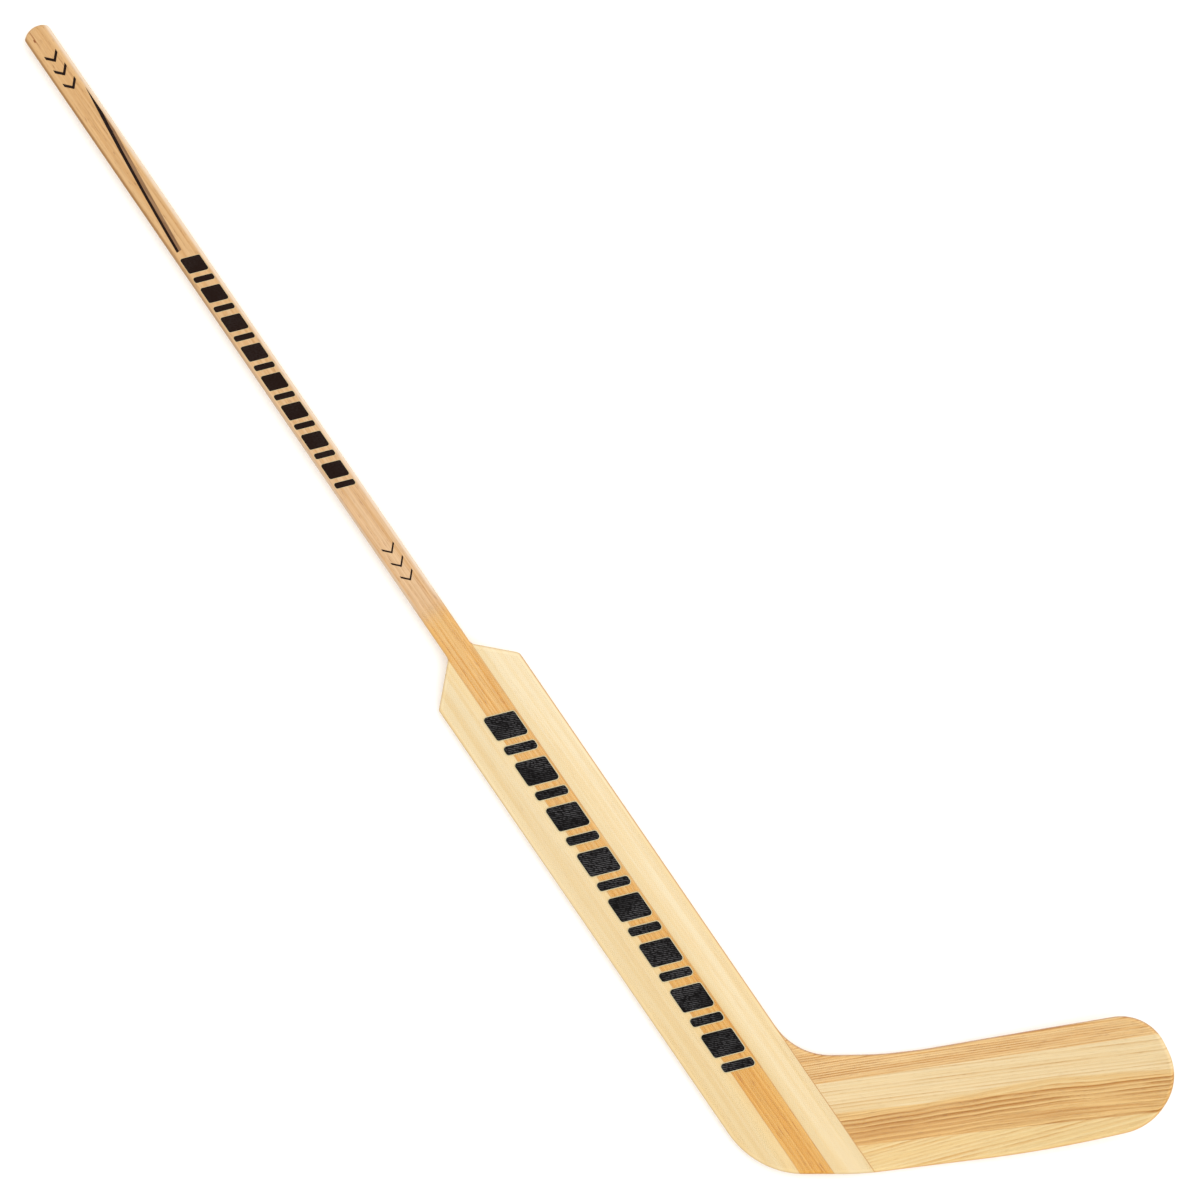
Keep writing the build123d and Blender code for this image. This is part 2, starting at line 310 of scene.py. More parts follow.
def wood_group():
    """Sawn wood: rings, long fibres, soft streaks, pores and painted shade along its rims."""
    tree, given, made = new_group("wood", [
        ("Vector", "Vector", None), ("Color", "Early Wood", (0.8, 0.6, 0.4, 1)),
        ("Color", "Late Wood", (0.6, 0.4, 0.2, 1)), ("Color", "Streaks", (0.7, 0.5, 0.3, 1)),
        ("Color", "Rim Tint", (0.6, 0.4, 0.3, 1)), ("Float", "Ring Width", 2.0),
        ("Float", "Wave Height", 1.0), ("Float", "Wave Length", 80.0),
        ("Float", "Sharpness", 3.0), ("Float", "Ring Strength", 0.6),
        ("Float", "Streak Width", 6.0), ("Float", "Streak Strength", 0.5),
        ("Float", "Fibre Strength", 0.15), ("Float", "Pore Strength", 0.3),
        ("Float", "Fleck Strength", 0.0), ("Float", "Rim Strength", 0.3)],
        [("Color", "Color"), ("Float", "Roughness"), ("Float", "Height")])
    mm = place(tree, shared["sway"], Millimetres=to_millimetres(tree, given["Vector"]),
               Wave_Height=given["Wave Height"], Wave_Length=given["Wave Length"])["Millimetres"]
    rings = place(tree, shared["rings"], Millimetres=mm, Ring_Width=given["Ring Width"],
                  Sharpness=given["Sharpness"])
    patch_size = (60.0, 6.0, 6.0)
    streak_length = 230.0
    fibre_size = (42.0, 0.85, 0.85)
    pore_size = (8.0, 0.42, 0.42)
    fleck_size = (26.0, 1.0, 1.0)
    late = sum_up(tree, "MULTIPLY", rings["Late Wood"], given["Ring Strength"])
    broken = cloud(tree, stretch(tree, mm, patch_size), 2.0, 0.6, shift=21.3)
    late = sum_up(tree, "MULTIPLY", late, ramp(tree, broken, 0.3, 0.6, 0.35, 1.1))
    streak_size = join(tree, streak_length, given["Streak Width"], given["Streak Width"])
    streak = cloud(tree, stretch(tree, mm, streak_size), 2.5, 0.55, shift=13.7)
    streak = sum_up(tree, "MULTIPLY", ramp(tree, streak, 0.4, 0.66), given["Streak Strength"])
    fibre = cloud(tree, stretch(tree, mm, fibre_size), 3.0, 0.6, shift=4.1)
    pore = ramp(tree, cloud(tree, stretch(tree, mm, pore_size), 1.0, 0.5, shift=8.3), 0.62, 0.72)
    near = ramp(tree, rings["Late Wood"], 0.0, 0.7, 0.45, 1.0)
    pore = sum_up(tree, "MULTIPLY", sum_up(tree, "MULTIPLY", pore, near), given["Pore Strength"])
    colour = mix(tree, streak, given["Early Wood"], given["Streaks"])
    colour = mix(tree, late, colour, given["Late Wood"])
    darker = mix(tree, 1.0, colour, given["Late Wood"], "MULTIPLY")
    colour = mix(tree, pore, colour, darker)
    fleck = cloud(tree, stretch(tree, mm, fleck_size), 1.0, 0.5, shift=17.9)
    fleck = sum_up(tree, "MULTIPLY", ramp(tree, fleck, 0.66, 0.74), given["Fleck Strength"])
    colour = mix(tree, fleck, colour, darker)
    shade = sum_up(tree, "SUBTRACT", 0.5, fibre)
    shade = sum_up(tree, "MULTIPLY", shade, given["Fibre Strength"])
    level = sum_up(tree, "SUBTRACT", 1.0, shade)
    grey = tree.nodes.new("ShaderNodeCombineColor")
    for socket in grey.inputs:
        feed(tree, socket, level)
    colour = mix(tree, 1.0, colour, grey.outputs[0], "MULTIPLY")
    # Painted shade: rims and sides take the darker rim tone as they turn away from the flat faces
    rim = sum_up(tree, "MULTIPLY", place(tree, shared["rim"])["Rim"], given["Rim Strength"])
    feed(tree, made["Color"], mix(tree, rim, colour, given["Rim Tint"]))
    smoothest, roughest = 0.34, 0.52
    feed(tree, made["Roughness"], ramp(tree, fibre, 0.2, 0.8, smoothest, roughest))
    pore_depth, late_wood_depth = 2.0, 0.5
    height = sum_up(tree, "SUBTRACT", fibre, sum_up(tree, "MULTIPLY", pore, pore_depth))
    sunk = sum_up(tree, "MULTIPLY", late, late_wood_depth)
    feed(tree, made["Height"], sum_up(tree, "SUBTRACT", height, sunk))
    return tree


def unbend_group():
    """The blade's own coordinates, taken back to the flat blank that it was bent from."""
    tree, given, made = new_group("unbend", [
        ("Vector", "Vector", None), ("Float", "Bend Start", bend_start),
        ("Float", "Bend Radius", bend_radius)], [("Vector", "Vector")])
    x, y, z = split(tree, turned(tree, given["Vector"], blade_heel, (0, 0, lie_degrees)))
    past = sum_up(tree, "MAXIMUM", sum_up(tree, "SUBTRACT", x, given["Bend Start"]), 0.0)
    lift = sum_up(tree, "DIVIDE", sum_up(tree, "MULTIPLY", past, past),
                  sum_up(tree, "MULTIPLY", given["Bend Radius"], 2.0))
    feed(tree, made["Vector"], join(tree, x, y, sum_up(tree, "SUBTRACT", z, lift)))
    return tree


def swell_group():
    """Bows the grain up over a stretch of the blade, as where heartwood pushes into a strip."""
    tree, given, made = new_group("swell", [
        ("Vector", "Vector", None), ("Float", "Middle", 200.0), ("Float", "Half Length", 110.0),
        ("Float", "Rise", 9.0)], [("Vector", "Vector"), ("Float", "Above")])
    mm = to_millimetres(tree, given["Vector"])
    x, y, z = split(tree, mm)
    along = sum_up(tree, "SUBTRACT", x, given["Middle"])
    along = sum_up(tree, "DIVIDE", along, given["Half Length"])
    bow = sum_up(tree, "SUBTRACT", 1.0, sum_up(tree, "MULTIPLY", along, along), clamp=True)
    rise = sum_up(tree, "MULTIPLY", bow, given["Rise"])
    unevenness_size = (70.0, 50.0, 50.0)
    uneven = cloud(tree, stretch(tree, mm, unevenness_size), 1.0, 0.5, shift=5.7)
    uneven = sum_up(tree, "MULTIPLY", sum_up(tree, "SUBTRACT", uneven, 0.5), given["Rise"])
    above = sum_up(tree, "SUBTRACT", y, sum_up(tree, "ADD", rise, uneven))
    feed(tree, made["Above"], above)
    back = sum_up(tree, "MULTIPLY", above, MM)
    feed(tree, made["Vector"], join(tree, sum_up(tree, "MULTIPLY", x, MM), back,
                                    sum_up(tree, "MULTIPLY", z, MM)))
    return tree


def glass_weave_group():
    """Plain-woven glass cloth: each strand's height, and a mask for painted glints where strands
    show.
    """
    tree, given, made = new_group("glass weave", [
        ("Vector", "Vector", None), ("Float", "Strand Width", 2.0)],
        [("Float", "Height"), ("Float", "Glint")])
    mm = to_millimetres(tree, given["Vector"])
    wander_size, wander = (14.0, 14.0, 14.0), 0.25
    gap_size = (2.0, 0.9, 0.9)
    patch_size = (26.0, 26.0, 26.0)
    crossing_softness = 0.25
    uneven = cloud(tree, stretch(tree, mm, wander_size), 2.0)
    uneven = sum_up(tree, "MULTIPLY", sum_up(tree, "SUBTRACT", uneven, 0.5), wander)
    x, y, _ = split(tree, mm)
    waves = []
    for part in (x, y):
        strand = sum_up(tree, "ADD", sum_up(tree, "DIVIDE", part, given["Strand Width"]), uneven)
        waves.append(sum_up(tree, "SINE", sum_up(tree, "MULTIPLY", strand, math.pi)))
    warp_round, weft_round = (sum_up(tree, "ABSOLUTE", wave) for wave in waves)
    crossing = sum_up(tree, "MULTIPLY", *waves)
    over = ramp(tree, crossing, -crossing_softness, crossing_softness)
    under = sum_up(tree, "SUBTRACT", 1.0, over)
    height = sum_up(tree, "ADD", sum_up(tree, "MULTIPLY", over, warp_round),
                    sum_up(tree, "MULTIPLY", under, weft_round))
    row = ramp(tree, weft_round, 0.45, 1.0)
    broken = ramp(tree, cloud(tree, stretch(tree, mm, gap_size), 1.0, 0.5, shift=3.3), 0.36, 0.6)
    patch = ramp(tree, cloud(tree, stretch(tree, mm, patch_size), 1.0), 0.36, 0.64, 0.35, 1.0)
    glint = sum_up(tree, "MULTIPLY", sum_up(tree, "MULTIPLY", row, broken), patch)
    feed(tree, made["Height"], height)
    feed(tree, made["Glint"], glint)
    return tree


# ---------------------------------------------------------------- materials
def new_material(name):
    """A material with its own Principled shader; gives its tree, shader and coordinates."""
    material = bpy.data.materials.new(name)
    material.use_nodes = True
    tree = material.node_tree
    shader = tree.nodes["Principled BSDF"]
    return material, tree, shader, tree.nodes.new("ShaderNodeTexCoord").outputs["Object"]


def turned(tree, vector, origin=(0.0, 0.0, 0.0), turn=(0.0, 0.0, 0.0)):
    """Coordinates about an origin, on axes turned by three angles in degrees."""
    node = tree.nodes.new("ShaderNodeMapping")
    node.vector_type = "TEXTURE"
    feed(tree, node.inputs["Vector"], vector)
    node.inputs["Location"].default_value = origin
    node.inputs["Rotation"].default_value = [math.radians(angle) for angle in turn]
    return node.outputs[0]


# Depths of the finest relief
grain_depth = 0.06 * MM
cloth_depth = 0.05 * MM
ink_depth = 0.06 * MM


def relief(tree, shader, height, depth):
    """A bump of the given depth in metres from a height of 0 to 1."""
    bump = tree.nodes.new("ShaderNodeBump")
    bump.inputs["Distance"].default_value = depth
    bump.inputs["Strength"].default_value = 1.0
    feed(tree, bump.inputs["Height"], height)
    feed(tree, shader.inputs["Normal"], bump.outputs[0])


def finish_wood(tree, shader, surface, colour=None):
    """Feeds a wood surface into the shader, under thin lacquer."""
    feed(tree, shader.inputs["Base Color"], colour or surface["Color"])
    feed(tree, shader.inputs["Roughness"], surface["Roughness"])
    shader.inputs["Specular IOR Level"].default_value = 0.35
    shader.inputs["Coat Weight"].default_value = 0.12
    shader.inputs["Coat Roughness"].default_value = 0.25
    relief(tree, shader, surface["Height"], grain_depth)


def floor_paint():
    """Plain white paint. Seen from below it isn't there, and it lets light through to the back
    of the stick, so that the back can be looked at."""
    material, tree, shader, _ = new_material("floor_paint")
    shader.inputs["Base Color"].default_value = (0.95, 0.95, 0.95, 1.0)
    shader.inputs["Roughness"].default_value = 0.9
    shader.inputs["Specular IOR Level"].default_value = 0.1
    clear = tree.nodes.new("ShaderNodeBsdfTransparent")
    choose = tree.nodes.new("ShaderNodeMixShader")
    path = tree.nodes.new("ShaderNodeLightPath").outputs
    below = tree.nodes.new("ShaderNodeNewGeometry").outputs["Backfacing"]
    bounced = sum_up(tree, "MAXIMUM", path["Is Diffuse Ray"], path["Is Shadow Ray"])
    feed(tree, choose.inputs[0], sum_up(tree, "MAXIMUM", below, bounced))
    feed(tree, choose.inputs[1], shader.outputs[0])
    feed(tree, choose.inputs[2], clear.outputs[0])
    feed(tree, tree.nodes["Material Output"].inputs["Surface"], choose.outputs[0])
    return material


def wood(vector, early, late, streaks, rim_shade_tone, tree_parts, **grain):
    """One wood. The tones are display colours, or sockets where they change along the piece; the
    fourth is the painted shade on the rims. The vector is coordinates that run along the grain, or
    the place and the turn of the pith."""
    _, tree, _, here = tree_parts
    labels = ("Early_Wood", "Late_Wood", "Streaks", "Rim_Tint")
    tones = {label: wood_tone(*tone) if isinstance(tone, tuple) else tone
             for label, tone in zip(labels, (early, late, streaks, rim_shade_tone))}
    if not isinstance(vector, bpy.types.NodeSocket):
        vector = turned(tree, here, *vector)
    return place(tree, shared["wood"], Vector=vector, **tones, **grain)


def on_blade(tree, here):
    """Coordinates that follow the blade's bend."""
    return place(tree, shared["unbend"], Vector=here)["Vector"]


def finished(name, vector, *tones, lay=None, **grain):
    """A material of one wood that is the same all along the piece."""
    parts = new_material(name)
    if lay:
        parts = parts[:3] + (lay(parts[1], parts[3]),)
    material, tree, shader, _ = parts
    finish_wood(tree, shader, wood(vector, *tones, tree_parts=parts, **grain))
    return material


shaft_grain = dict(Ring_Width=2.4, Wave_Height=0.6, Wave_Length=180.0, Sharpness=1.4,
                   Ring_Strength=0.45, Streak_Width=1.8, Streak_Strength=0.8, Fibre_Strength=0.42,
                   Pore_Strength=0.6, Rim_Strength=0.45)
shaft_pith = ((0, 0.045, -0.05), (1.5, 0.35, 0.3))
pin_knot = Vector((-0.665, -0.0052, 0.0176))
pin_knot_trail = pin_knot + Vector((-0.003, 0.0007, 0.0))
board_grain = dict(Ring_Width=9.0, Wave_Height=1.2, Wave_Length=320.0, Sharpness=1.2,
                   Ring_Strength=0.22, Streak_Width=5.0, Streak_Strength=0.55, Fibre_Strength=0.1,
                   Pore_Strength=0.25, Fleck_Strength=0.1, Rim_Strength=0.75)


def spot(tree, here, centre, half_length, half_width):
    """A soft lens-shaped mask about a point, its two sizes in millimetres."""
    half_depth = 2.0
    parts = split(tree, to_millimetres(tree, shifted(tree, here, centre)))
    squares = []
    for part, size in zip(parts, (half_length, half_width, half_depth)):
        share = sum_up(tree, "DIVIDE", part, size)
        squares.append(sum_up(tree, "MULTIPLY", share, share))
    far = sum_up(tree, "ADD", sum_up(tree, "ADD", squares[0], squares[1]), squares[2])
    return ramp(tree, far, 1.0, 0.2)


def seam(tree, surface, distance, tone, strength, half_width=0.45):
    """The surface's colour with a thin glue line where the distance, in metres, is nought."""
    off = sum_up(tree, "ABSOLUTE", sum_up(tree, "MULTIPLY", distance, 1 / MM))
    line = ramp(tree, off, half_width, 0.0, 0.0, strength)
    return mix(tree, line, surface, wood_tone(*tone))


def shaft_edge_light_and_shade(tree, here, low, colour):
    """The shaft's colour with painted light and shade on its front edges: a painted pale sheen to
    the toe side, and to the heel side painted shade high up and a painted pale sheen lower down."""
    x, y, z = split(tree, here)
    bare = ramp(tree, x, facing_start + 12 * MM, facing_start - 20 * MM)
    front = sum_up(tree, "MULTIPLY", bare, ramp(tree, z, 14.5 * MM, 16.5 * MM))
    toe = sum_up(tree, "MULTIPLY", front, ramp(tree, y, 8.0 * MM, 12.4 * MM, 0.0, 0.8))
    heel = sum_up(tree, "MULTIPLY", front, ramp(tree, y, -9.0 * MM, -11.2 * MM, 0.0, 0.65))
    # Painted light and shade on the rounded front edges: pale painted sheen on the toe side,
    # painted shade on the heel side near the butt, pale painted sheen on the heel side lower down
    toe_edge_sheen, heel_edge_shade, heel_edge_sheen = (247, 230, 209), (148, 106, 66), (226, 202, 176)
    colour = mix(tree, toe, colour, wood_tone(*toe_edge_sheen))
    return mix(tree, heel, colour, mix(tree, low, wood_tone(*heel_edge_shade), wood_tone(*heel_edge_sheen)))


def shaft_ply():
    """Birch face ply: tan towards the butt, rosier lower down, golden where resin soaked it."""
    parts = material, tree, shader, here = new_material("birch_ply")
    x = split(tree, here)["X"]
    low = ramp(tree, x, -0.5, -0.15)
    soaked = ramp(tree, x, facing_start - 6 * MM, facing_start + 20 * MM)
    heel = ramp(tree, x, 0.05, 0.45)
    early = mix(tree, low, wood_tone(225, 184, 134), wood_tone(230, 193, 151))
    late = mix(tree, low, wood_tone(198, 150, 98), wood_tone(206, 158, 110))
    golden = mix(tree, heel, wood_tone(241, 197, 132), wood_tone(239, 187, 108))
    early = mix(tree, soaked, early, golden)
    late = mix(tree, soaked, late, wood_tone(214, 146, 66))
    streaks = mix(tree, soaked, wood_tone(212, 166, 114), wood_tone(226, 162, 78))
    flecks = ramp(tree, x, 0.0, 0.5, 0.15, 0.75)
    surface = wood(shaft_pith, early, late, streaks, (188, 138, 90), parts,
                   Fleck_Strength=flecks, **shaft_grain)
    knot = spot(tree, here, pin_knot, half_length=2.2, half_width=1.1)
    trail = spot(tree, here, pin_knot_trail, half_length=14.0, half_width=0.6)
    trail_strength = 0.55
    mark = sum_up(tree, "MAXIMUM", knot, sum_up(tree, "MULTIPLY", trail, trail_strength))
    colour = mix(tree, mark, surface["Color"], wood_tone(150, 96, 50))
    # The shaft's front edges get painted sheen and painted shade
    finish_wood(tree, shader, surface, shaft_edge_light_and_shade(tree, here, low, colour))
    return material


def board(name, side, pale, warm, streaks, late):
    """An aspen board, warmer towards its outer edge, towards the heel and at its glued edge."""
    parts = material, tree, shader, here = new_material(name)
    x, y, _ = split(tree, here)
    out = sum_up(tree, "MULTIPLY", y, side)
    edge = ramp(tree, out, 30 * MM, 42 * MM, 0.0, 0.25)
    glued = ramp(tree, out, 24 * MM, 12.5 * MM, 0.0, 0.75)
    heel = ramp(tree, x, 0.15, 0.56, 0.0, 0.6)
    warmth = sum_up(tree, "ADD", sum_up(tree, "ADD", edge, glued), heel, clamp=True)
    early = mix(tree, warmth, wood_tone(*pale), wood_tone(*warm))
    pith = ((0, side * 0.16, -0.2), (0, 0.6, side * 0.25))
    surface = wood(pith, early, late, streaks, (214, 176, 124), parts, **board_grain)
    off_shaft = sum_up(tree, "SUBTRACT", out, shaft_glue)
    colour = seam(tree, surface["Color"], off_shaft, (196, 134, 70), 0.7)
    if side > 0:
        off_blade = sum_up(tree, "SUBTRACT", y, blade_root_glue)
        colour = seam(tree, colour, off_blade, (200, 140, 78), 0.9, half_width=0.75)
    finish_wood(tree, shader, surface, colour)
    return material


def along_glue(tree, flat, glue):
    """Coordinates with X along one of the blade's glue lines and Y above it."""
    height, slope = glue
    return turned(tree, flat, (0, height * MM, 0), (0, 0, slope))


def shifted(tree, vector, offset):
    """The vector moved so that the origin lies at the offset."""
    node = tree.nodes.new("ShaderNodeVectorMath")
    node.operation = "SUBTRACT"
    feed(tree, node.inputs[0], vector)
    node.inputs[1].default_value = offset
    return node.outputs[0]


cream_grain = dict(Ring_Width=2.9, Wave_Height=0.4, Wave_Length=110.0, Sharpness=2.6,
                   Ring_Strength=0.7, Streak_Strength=0.5, Fibre_Strength=0.2, Pore_Strength=0.5,
                   Rim_Strength=0.5)
gold_grain = dict(Ring_Width=3.6, Wave_Height=0.8, Wave_Length=110.0, Sharpness=1.3,
                  Ring_Strength=0.8, Streak_Width=3.0, Streak_Strength=0.6, Fibre_Strength=0.3,
                  Pore_Strength=0.5, Rim_Strength=0.5)
dark_grain = dict(Ring_Width=2.8, Wave_Height=1.5, Wave_Length=110.0, Sharpness=1.4,
                  Ring_Strength=0.95, Streak_Width=2.6, Streak_Strength=0.7, Fibre_Strength=0.35,
                  Pore_Strength=0.6, Rim_Strength=0.5)


def cream_strip():
    """The blade's cream strip, with golden heartwood swelling in along its lower glue line."""
    parts = material, tree, shader, here = new_material("ash_cream")
    base = along_glue(tree, on_blade(tree, here), middle_glue)
    swell = place(tree, shared["swell"], Vector=base, Middle=225.0, Half_Length=125.0, Rise=7.0)
    cream_pith, gold_pith = (0, -0.15, -0.05), (0, -0.1, -0.06)
    cream = wood(shifted(tree, base, cream_pith), (246, 222, 175), (212, 164, 100),
                 (238, 206, 150), (222, 180, 128), parts, **cream_grain)
    gold = wood(shifted(tree, swell["Vector"], gold_pith), (245, 214, 155), (212, 158, 92),
                (235, 193, 128), (214, 164, 108), parts, **gold_grain)
    inside = ramp(tree, swell["Above"], 2.2, -1.2)
    finish_wood(tree, shader, cream, mix(tree, inside, cream["Color"], gold["Color"]))
    return material


def dark_strip():
    """The blade's brown strip: wavy bands that are darkest low down near the heel."""
    parts = material, tree, shader, here = new_material("ash_dark")
    base = along_glue(tree, on_blade(tree, here), middle_glue)
    swell = place(tree, shared["swell"], Vector=base, Middle=190.0, Half_Length=150.0, Rise=4.0)
    x, y, _ = split(tree, to_millimetres(tree, base))
    low_down = ramp(tree, y, -8.0, -20.0)
    near_heel = ramp(tree, x, 190.0, 60.0, 0.25, 1.0)
    deep = sum_up(tree, "MULTIPLY", low_down, near_heel)
    early = mix(tree, deep, wood_tone(246, 207, 141), wood_tone(237, 190, 122))
    pith = (0, -0.075, -0.05)
    surface = wood(shifted(tree, swell["Vector"], pith), early, (188, 130, 70), (214, 160, 96),
                   (198, 142, 88), parts, **dark_grain)
    finish_wood(tree, shader, surface)
    return material


def weave_on(tree, here, strand):
    """Glass cloth in the way it is laid on the stick, its strand width in millimetres."""
    laid = turned(tree, here, turn=cloth_turn)
    return place(tree, shared["weave"], Vector=laid, Strand_Width=strand)


def resin_cloth():
    """Clear resin over woven glass: almost all of it is seen through."""
    material, tree, shader, here = new_material("resin_cloth")
    weave = weave_on(tree, here, 1.8)
    resin, glass = wood_tone(196, 142, 76), wood_tone(255, 246, 216)
    feed(tree, shader.inputs["Base Color"], mix(tree, weave["Height"], resin, glass))
    feed(tree, shader.inputs["Alpha"], ramp(tree, weave["Height"], 0.0, 1.0, 0.13, 0.06))
    feed(tree, shader.inputs["Roughness"], ramp(tree, weave["Height"], 0.0, 1.0, 0.32, 0.22))
    relief(tree, shader, weave["Height"], cloth_depth)
    return material


def ink(name, base, glint_share, strand):
    """Black ink over the glass cloth's weave, with rows of painted grey glints on its strands."""
    material, tree, shader, here = new_material(name)
    weave = weave_on(tree, here, strand)
    shown = sum_up(tree, "MULTIPLY", weave["Glint"], glint_share)
    # Painted highlight: grey glints on the strands, mixed into the ink's colour
    glint = paint(98, 97, 98)
    feed(tree, shader.inputs["Base Color"], mix(tree, shown, paint(*base), glint))
    feed(tree, shader.inputs["Roughness"], ramp(tree, weave["Height"], 0.0, 1.0, 0.6, 0.4))
    shader.inputs["Specular IOR Level"].default_value = 0.04
    relief(tree, shader, weave["Height"], ink_depth)
    return material


def pale_edge():
    """The pale size that shows as a thin line round the black ink."""
    material, tree, shader, here = new_material("pale_edge")
    patch_size = (3.0, 3.0, 3.0)
    patch = cloud(tree, stretch(tree, to_millimetres(tree, here), patch_size), 2.0)
    dull, bright = wood_tone(206, 192, 150), wood_tone(232, 216, 172)
    feed(tree, shader.inputs["Base Color"], mix(tree, patch, dull, bright))
    feed(tree, shader.inputs["Roughness"], ramp(tree, patch, 0.0, 1.0, 0.4, 0.6))
    return material


def smoke_ink():
    """Thin brown ink, with the birch's fibres showing through it."""
    parts = material, tree, shader, _ = new_material("smoke_ink")
    grain = dict(shaft_grain, Fibre_Strength=0.35)
    surface = wood(shaft_pith, (160, 126, 95), (128, 94, 66), (142, 108, 80), (112, 86, 64),
                   parts, **grain)
    finish_wood(tree, shader, surface)
    return material


# ---------------------------------------------------------------- pieces
# Points closer than this are one point
weld_distance = 0.001 * MM

# The printed bars come in pairs, a wide one and a narrow one: their lean in degrees, their sizes
# as shares of the way from one pair to the next, and their corners as a share of their height
bar_lean = 20
bar_pairs = 8
wide_share, gap_share, narrow_share = 0.5, 0.14, 0.18
corner_share = 0.1
corner_steps = 6
# How thick the pale edge's film is, as a share of the ink's
edge_film_share = 0.4


def bar_band_tree():
    """Slanted bars with rounded corners, wide and narrow by turns, each with a pale edge."""
    tree = bpy.data.node_groups.new("bar band", "GeometryNodeTree")
    for label in ("Start", "Middle", "Height", "Motif", "Wide", "Narrow", "Gap", "Lean", "Corner",
                  "Edge", "Base", "Film"):
        tree.interface.new_socket(name=label, in_out="INPUT", socket_type="NodeSocketFloat")
    tree.interface.new_socket(name="Count", in_out="INPUT", socket_type="NodeSocketInt")
    for label in ("Ink", "Edge Material"):
        tree.interface.new_socket(name=label, in_out="INPUT", socket_type="NodeSocketMaterial")
    tree.interface.new_socket(name="Bars", in_out="OUTPUT", socket_type="NodeSocketGeometry")
    given = tree.nodes.new("NodeGroupInput").outputs

    def add(kind, settings=(), **inputs):
        node = tree.nodes.new("GeometryNode" + kind)
        for name, value in dict(settings).items():
            setattr(node, name, value)
        for name, value in inputs.items():
            feed(tree, node.inputs[name.replace("_", " ")], value)
        return node.outputs

    layers = tree.nodes.new("GeometryNodeJoinGeometry")
    wide_middle = sum_up(tree, "MULTIPLY", given["Wide"], 0.5)
    narrow_middle = sum_up(tree, "ADD", sum_up(tree, "ADD", given["Wide"], given["Gap"]),
                           sum_up(tree, "MULTIPLY", given["Narrow"], 0.5))
    for width, middle in ((given["Wide"], wide_middle), (given["Narrow"], narrow_middle)):
        for inked in (True, False):
            grow = 0.0 if inked else given["Edge"]
            twice = sum_up(tree, "MULTIPLY", grow, 2.0)
            height = sum_up(tree, "ADD", given["Height"], twice)
            outline = add("CurvePrimitiveQuadrilateral", {"mode": "PARALLELOGRAM"}, Height=height,
                          Width=sum_up(tree, "ADD", width, twice),
                          Offset=sum_up(tree, "MULTIPLY", height, given["Lean"]))[0]
            rounded = add("FilletCurve", {"mode": "POLY"}, Curve=outline, Count=corner_steps,
                          Limit_Radius=True, Radius=sum_up(tree, "ADD", given["Corner"], grow))[0]
            flat = add("FillCurve", {"mode": "NGONS"}, Curve=rounded)[0]
            film = sum_up(tree, "MULTIPLY", given["Film"],
                          1.0 if inked else edge_film_share)
            raised = add("ExtrudeMesh", {"mode": "FACES"}, Mesh=flat, Offset_Scale=film,
                         Individual=False)[0]
            bar = tree.nodes.new("GeometryNodeJoinGeometry")
            feed(tree, bar.inputs[0], raised)
            feed(tree, bar.inputs[0], add("FlipFaces", Mesh=flat)[0])
            closed = add("MergeByDistance", Geometry=bar.outputs[0],
                         Distance=weld_distance)[0]
            marked = add("StoreNamedAttribute", {"data_type": "BOOLEAN", "domain": "FACE"},
                         Geometry=closed, Name="inked", Value=inked)[0]
            start = sum_up(tree, "ADD", given["Start"], middle)
            first = join(tree, start, given["Middle"], given["Base"])
            row = add("MeshLine", {"mode": "OFFSET"}, Count=given["Count"], Start_Location=first,
                      Offset=join(tree, given["Motif"], 0.0, 0.0))[0]
            feed(tree, layers.inputs[0], add("InstanceOnPoints", Points=row, Instance=marked)[0])
    whole = add("RealizeInstances", Geometry=layers.outputs[0])[0]
    edged = add("SetMaterial", Geometry=whole, Material=given["Edge Material"])[0]
    inked = add("InputNamedAttribute", {"data_type": "BOOLEAN"}, Name="inked")["Attribute"]
    done = add("SetMaterial", Geometry=edged, Selection=inked, Material=given["Ink"])[0]
    feed(tree, tree.nodes.new("NodeGroupOutput").inputs[0], done)
    return tree


def print_bars(name, node, tree, ink_material, edge):
    """A printed band that stands for a CAD transfer, with the same bars in the same place."""
    low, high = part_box(node)
    lean = math.tan(math.radians(bar_lean))
    height = high.y - low.y
    motifs = bar_pairs - 1 + wide_share + gap_share + narrow_share
    motif = (high.x - low.x - lean * height) / motifs
    sizes = {"Start": low.x + lean * height / 2, "Middle": (low.y + high.y) / 2, "Height": height,
             "Motif": motif, "Wide": wide_share * motif, "Narrow": narrow_share * motif,
             "Gap": gap_share * motif, "Lean": lean, "Corner": corner_share * height, "Edge": edge,
             "Base": low.z, "Film": high.z - low.z, "Count": bar_pairs, "Ink": ink_material,
             "Edge Material": edge_material}
    host = bpy.data.objects.new(name, bpy.data.meshes.new(name))
    bpy.context.scene.collection.objects.link(host)
    maker = host.modifiers.new("bars", "NODES")
    maker.node_group = tree
    for item in tree.interface.items_tree:
        if item.in_out == "INPUT":
            maker[item.identifier] = sizes[item.name]
    ready = host.evaluated_get(bpy.context.evaluated_depsgraph_get())
    mesh = bpy.data.meshes.new_from_object(ready)
    host.modifiers.remove(maker)
    host.data = mesh
    mesh.name = name
    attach(host, "root")
    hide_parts(node)
    return host


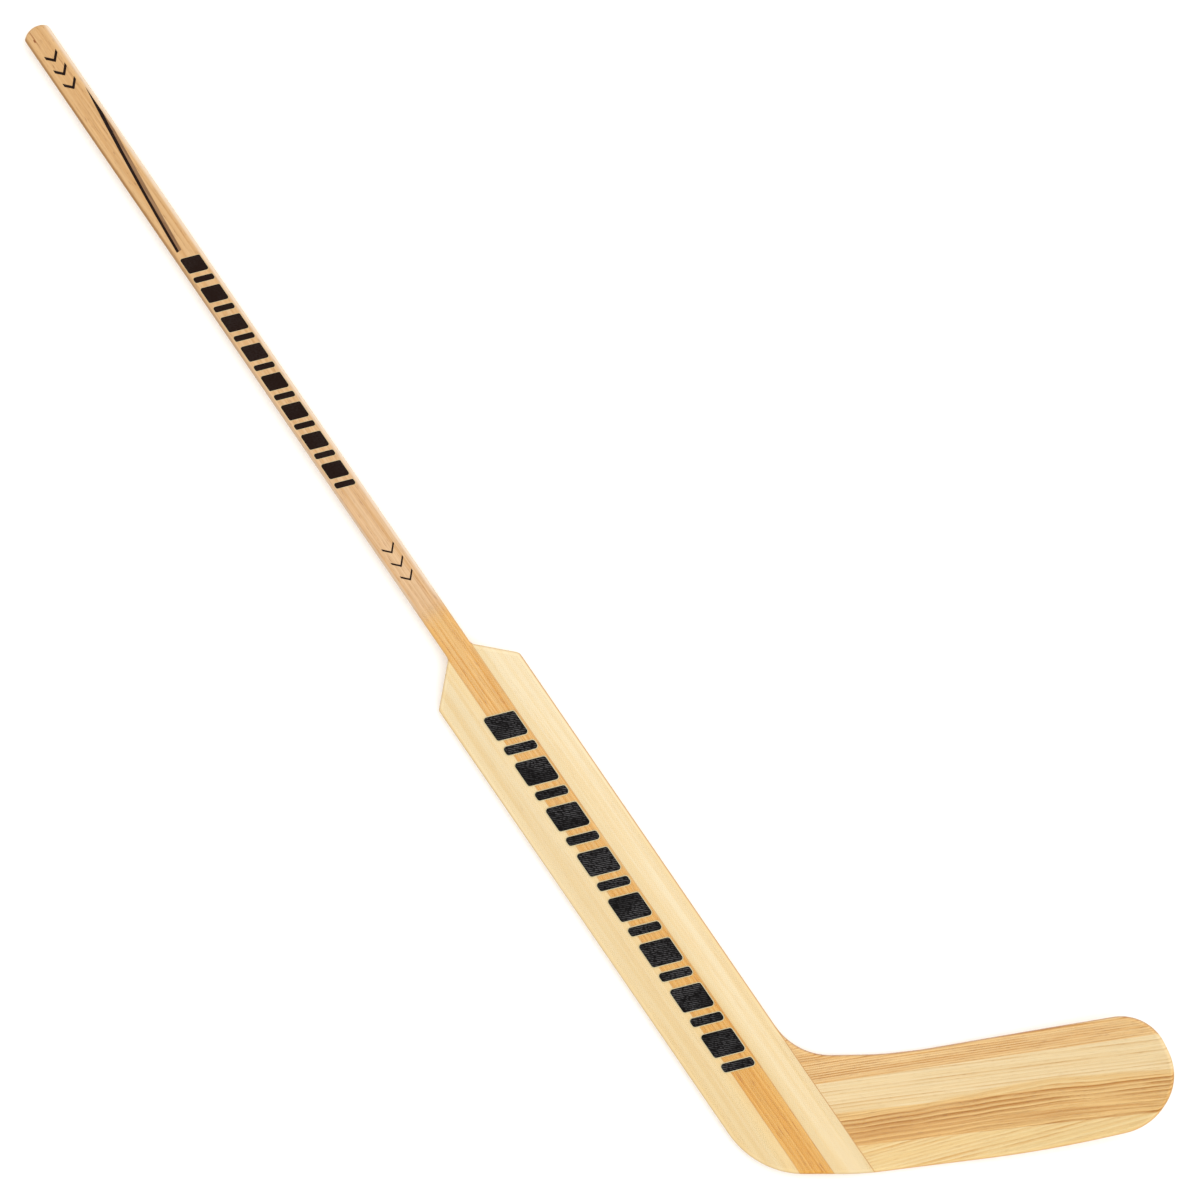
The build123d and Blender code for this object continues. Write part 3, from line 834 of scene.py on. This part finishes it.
def lay_cloth(name, node, sink):
    """A glass cloth facing: the CAD one, with its glued side soaked a little way into the wood."""
    mesh = nodes[node].data.copy()
    mesh.name = name
    cloth = bmesh.new()
    cloth.from_mesh(mesh)
    bmesh.ops.remove_doubles(cloth, verts=cloth.verts, dist=weld_distance)
    glued = {vert for face in cloth.faces if face.normal.z * sink > 0.5 * abs(sink)
             for vert in face.verts}
    for vert in glued:
        vert.co.z += sink
    cloth.to_mesh(mesh)
    cloth.free()
    piece = bpy.data.objects.new(name, mesh)
    bpy.context.scene.collection.objects.link(piece)
    mesh.materials.clear()
    mesh.materials.append(cloth_material)
    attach(piece, "root")
    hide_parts(node)


def dress(material, *names):
    """Gives CAD nodes their material."""
    for name in names:
        mesh = nodes[name].data
        mesh.materials.clear()
        mesh.materials.append(material)


set_camera()
shared = {}
shared["sway"] = sway_group()
shared["rings"] = growth_ring_group()
shared["rim"] = rim_group()
shared["wood"] = wood_group()
shared["unbend"] = unbend_group()
shared["swell"] = swell_group()
shared["weave"] = glass_weave_group()
set_studio()

dress(shaft_ply(), "shaft_front_ply", "shaft_back_ply")
dress(finished("aspen_core", ((0, 0.06, -0.03), (0, 0.5, 0)), (240, 214, 170), (216, 178, 126),
               (232, 200, 152), (226, 198, 152), Ring_Width=3.0, Ring_Strength=0.4,
               Streak_Strength=0.4, Rim_Strength=0.2),
      "shaft_core_ply_3", "shaft_core_ply_2", "shaft_core_ply_1")
dress(board("aspen_toe_board", 1, (248, 231, 193), (243, 219, 170), (240, 209, 150),
            (232, 192, 130)), "toe_side_board")
dress(board("aspen_heel_board", -1, (249, 229, 187), (246, 218, 163), (241, 209, 150),
            (234, 192, 130)), "heel_side_board")
dress(finished("ash_brown", ((0, -0.06, -0.06), (0, 0.3, 8.6)), (247, 211, 153),
               (206, 150, 88), (233, 185, 121), (186, 142, 110), Ring_Width=1.9, Wave_Height=0.35,
               Wave_Length=120.0, Sharpness=1.2, Ring_Strength=0.9, Streak_Width=2.6,
               Streak_Strength=0.7, Fibre_Strength=0.38, Pore_Strength=0.6, Rim_Strength=0.75,
               lay=on_blade),
      "blade_strip_top")
dress(cream_strip(), "blade_strip_upper")
dress(dark_strip(), "blade_strip_lower")
dress(finished("ash_yellow", ((-0.06, -0.09, -0.06), (0, 1.2, 16.0)), (247, 220, 163),
               (220, 168, 98), (240, 203, 135), (222, 156, 82), Ring_Width=2.1, Wave_Height=0.8,
               Wave_Length=150.0, Sharpness=1.5, Ring_Strength=0.7, Streak_Width=4.0,
               Streak_Strength=0.6, Fibre_Strength=0.26, Pore_Strength=0.5, Rim_Strength=0.85,
               lay=on_blade),
      "blade_strip_sole")
cloth_material = resin_cloth()
for side, sink in (("front", -cloth_sink), ("back", cloth_sink)):
    for part in ("paddle", "blade"):
        lay_cloth(f"{part}_{side}_cloth", f"{part}_{side}_facing", sink)

edge_material = pale_edge()
plain_ink = ink("black_ink", (26, 12, 6), 0.12, 0.8)
bars = bar_band_tree()
cloth_ink = ink("black_ink_on_cloth", (10, 8, 8), 0.5, 1.8)
print_bars("paddle_print", "paddle_transfer", bars, cloth_ink, 0.7 * MM)
print_bars("shaft_print", "shaft_transfer", bars, plain_ink, 0.3 * MM)
dress(plain_ink, "butt_transfer", "low_transfer", "black_stripe")
dress(smoke_ink(), "smoke_stripe")
